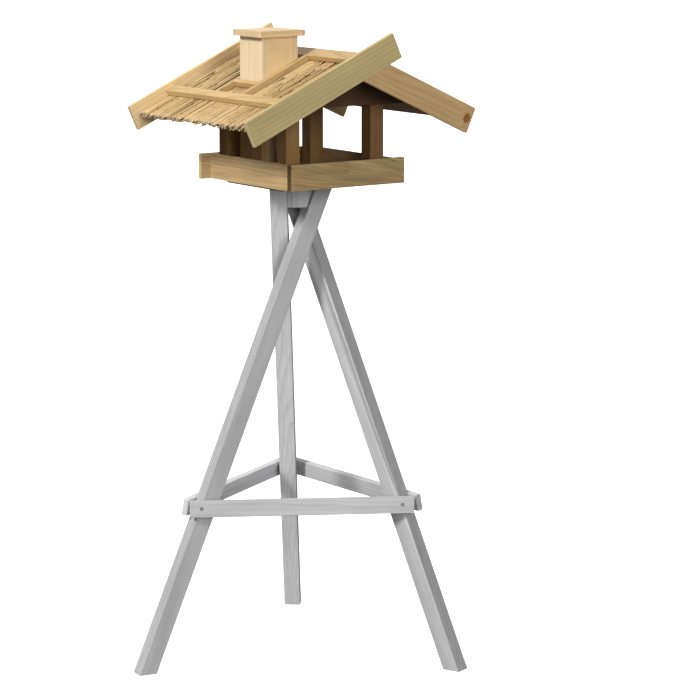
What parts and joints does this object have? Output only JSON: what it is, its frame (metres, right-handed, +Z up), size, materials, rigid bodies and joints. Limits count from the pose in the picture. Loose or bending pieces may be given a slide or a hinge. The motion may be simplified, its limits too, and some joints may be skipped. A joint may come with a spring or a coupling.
{
  "type": "bird table",
  "caption": "Open tray with posts under a reed-thatched gable roof, a seed silo rising through the roof as a chimney with a lift-off lid, on a twisted wooden tripod.",
  "frame": {"origin": "middle of the whole object's footprint box, on the ground under the legs' feet", "axes": "+Z up; +Y along the roof ridge, towards the gable whose tray board runs on past the tray's -X side; +X down the roof slope that has no chimney"},
  "size_m": [0.8234, 0.835, 1.5878],
  "materials": {
    "bare_pine": "planed bare pine, matt",
    "treated_pine": "pressure-treated pine, pale green-brown, matt",
    "tray_pine": "planed pine, warm brown, matt",
    "reed": "dry natural reed stems",
    "plywood": "thin softwood plywood, matt",
    "grey_stand_wood": "softwood with a pale grey limewash",
    "screw_steel": "dull zinc-plated steel"
  },
  "bodies": {
    "table": {"leg_left": "grey_stand_wood", "leg_right": "grey_stand_wood", "leg_rear": "grey_stand_wood", "brace_front": "grey_stand_wood", "brace_screw_front_1": "screw_steel", "brace_screw_front_2": "screw_steel", "brace_right": "grey_stand_wood", "brace_screw_right_1": "screw_steel", "brace_screw_right_2": "screw_steel", "brace_left": "grey_stand_wood", "brace_screw_left_1": "screw_steel", "brace_screw_left_2": "screw_steel", "head_block": "grey_stand_wood", "head_dowel_1": "bare_pine", "head_dowel_2": "bare_pine", "head_dowel_3": "bare_pine", "deck_left": "plywood", "thatch_left": "reed", "barge_near_left": "treated_pine", "barge_far_left": "treated_pine", "ridge_batten_left": "bare_pine", "eave_batten_left": "bare_pine", "chimney_batten_near": "bare_pine", "chimney_batten_far": "bare_pine", "chimney_batten_cross": "bare_pine", "deck_right": "plywood", "thatch_right": "reed", "barge_near_right": "treated_pine", "barge_far_right": "treated_pine", "ridge_batten_right": "bare_pine", "eave_batten_right": "bare_pine", "tray_floor": "plywood", "mount_board": "tray_pine", "rim_side_left": "tray_pine", "rim_side_right": "tray_pine", "rim_gable_near": "tray_pine", "rim_nail_near_left": "screw_steel", "rim_nail_near_right": "screw_steel", "rim_gable_far": "tray_pine", "rim_nail_far_left": "screw_steel", "rim_nail_far_right": "screw_steel", "mount_screw_1": "screw_steel", "mount_screw_2": "screw_steel", "mount_screw_3": "screw_steel", "post_near_left": "tray_pine", "post_near_right": "tray_pine", "post_far_left": "tray_pine", "post_far_right": "tray_pine", "gable_panel_near": "tray_pine", "gable_panel_far": "tray_pine", "ridge_beam": "tray_pine", "silo_board_left": "bare_pine", "silo_board_right": "bare_pine", "silo_board_near": "bare_pine", "silo_board_far": "bare_pine"},
    "lid": {"lid_plate": "bare_pine", "lid_plug": "bare_pine"}
  },
  "joints": [
    {"name": "lid_lift", "type": "slide", "parent": "table", "child": "lid", "axis": [0, 0, 1], "range_m": [0, 0.15]}
  ]
}
